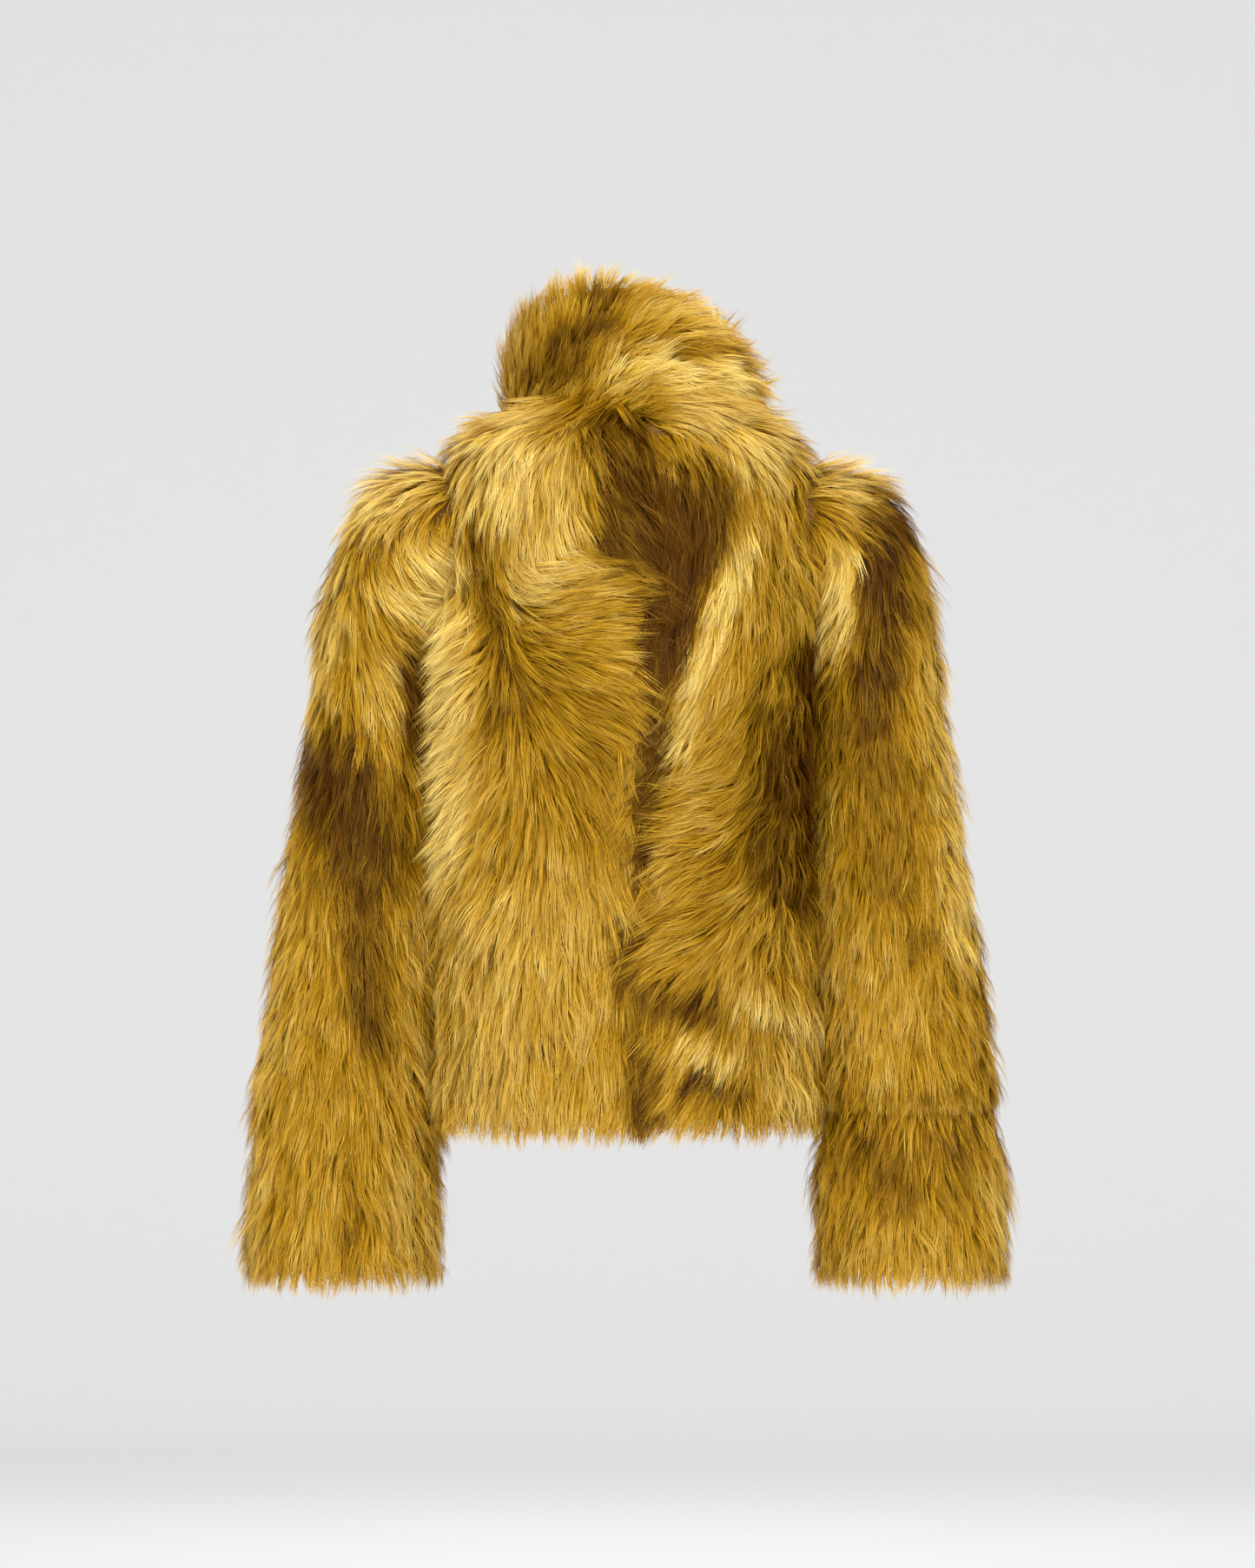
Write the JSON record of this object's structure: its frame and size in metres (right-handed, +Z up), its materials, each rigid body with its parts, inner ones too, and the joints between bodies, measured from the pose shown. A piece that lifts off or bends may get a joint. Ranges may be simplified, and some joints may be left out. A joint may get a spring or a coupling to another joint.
{
  "type": "fur jacket",
  "caption": "Cropped long-pile fur jacket with a standing fur collar, centre back seam, two-piece set-in sleeves, set-on cuff bands and an edge-to-edge front.",
  "frame": {"origin": "centre of the neck seam, level with the seam at the centre back, where the wearer's neck holds the jacket", "axes": "+Z up along the wearer's spine, -Y to the wearer's front, +Y to the back, +X to the wearer's left"},
  "size_m": [0.5988, 0.256, 0.7816],
  "materials": {
    "long_fur": "long silky pile dyed mustard gold, darker at the roots",
    "pelt_leather": "matte sueded skin side",
    "lining_satin": "satin weave",
    "stay_tape": "plain cotton",
    "wadding": "felted wadding",
    "closure_metal": "thread-covered wire"
  },
  "bodies": {
    "root": {"back_panel_left": "long_fur", "back_panel_right": "long_fur", "side_back_left": "long_fur", "side_back_right": "long_fur", "side_front_left": "long_fur", "side_front_right": "long_fur", "front_yoke_left": "long_fur", "front_yoke_right": "long_fur", "centre_back_tape": "stay_tape", "back_neck_facing": "pelt_leather", "back_lining": "lining_satin", "side_lining_left": "lining_satin", "side_lining_right": "lining_satin", "yoke_lining_left": "lining_satin", "yoke_lining_right": "lining_satin", "hem_facing_back": "pelt_leather", "hem_facing_left": "pelt_leather", "hem_facing_right": "pelt_leather", "shoulder_pad_left": "wadding", "shoulder_pad_right": "wadding", "collar_back": "long_fur", "collar_left": "long_fur", "collar_right": "long_fur", "collar_facing": "pelt_leather", "collar_stay": "stay_tape"},
    "front_left": {"front_panel_left": "long_fur", "front_facing_left": "pelt_leather", "front_lining_left": "lining_satin", "front_hem_facing_left": "pelt_leather", "closure_eyes": "closure_metal"},
    "front_right": {"front_panel_right": "long_fur", "front_facing_right": "pelt_leather", "front_lining_right": "lining_satin", "front_hem_facing_right": "pelt_leather", "closure_hooks": "closure_metal"},
    "upper_sleeve_left": {"upper_sleeve_outer_left": "long_fur", "upper_sleeve_under_left": "long_fur", "upper_sleeve_lining_left": "lining_satin", "sleeve_head_roll_left": "wadding"},
    "upper_sleeve_right": {"upper_sleeve_outer_right": "long_fur", "upper_sleeve_under_right": "long_fur", "upper_sleeve_lining_right": "lining_satin", "sleeve_head_roll_right": "wadding"},
    "lower_sleeve_left": {"lower_sleeve_outer_left": "long_fur", "lower_sleeve_under_left": "long_fur", "lower_sleeve_lining_left": "lining_satin", "cuff_band_left": "long_fur", "cuff_facing_left": "pelt_leather"},
    "lower_sleeve_right": {"lower_sleeve_outer_right": "long_fur", "lower_sleeve_under_right": "long_fur", "lower_sleeve_lining_right": "lining_satin", "cuff_band_right": "long_fur", "cuff_facing_right": "pelt_leather"},
    "hanger_loop": {"hanger_loop": "lining_satin"}
  },
  "joints": [
    {"name": "front_left_open", "type": "hinge", "parent": "root", "child": "front_left", "pos_m": [0.1202, -0.0886, -0.35], "axis": [0, 0, 1], "range_deg": [0, 95]},
    {"name": "front_right_open", "type": "hinge", "parent": "root", "child": "front_right", "pos_m": [-0.1202, -0.0886, -0.35], "axis": [0, 0, -1], "range_deg": [0, 95]},
    {"name": "sleeve_left_raise", "type": "hinge", "parent": "root", "child": "upper_sleeve_left", "pos_m": [0.162, 0, -0.096], "axis": [0, -1, 0], "range_deg": [0, 75]},
    {"name": "sleeve_right_raise", "type": "hinge", "parent": "root", "child": "upper_sleeve_right", "pos_m": [-0.162, 0, -0.096], "axis": [0, 1, 0], "range_deg": [0, 75]},
    {"name": "elbow_left_bend", "type": "hinge", "parent": "upper_sleeve_left", "child": "lower_sleeve_left", "pos_m": [0.2084, -0.0603, -0.3724], "axis": [-1, 0, 0], "range_deg": [0, 80]},
    {"name": "elbow_right_bend", "type": "hinge", "parent": "upper_sleeve_right", "child": "lower_sleeve_right", "pos_m": [-0.2084, -0.0603, -0.3724], "axis": [-1, 0, 0], "range_deg": [0, 80]},
    {"name": "hanger_loop_flip", "type": "hinge", "parent": "root", "child": "hanger_loop", "pos_m": [0, 0.0526, 0.0056], "axis": [-1, 0, 0], "range_deg": [0, 150]}
  ]
}
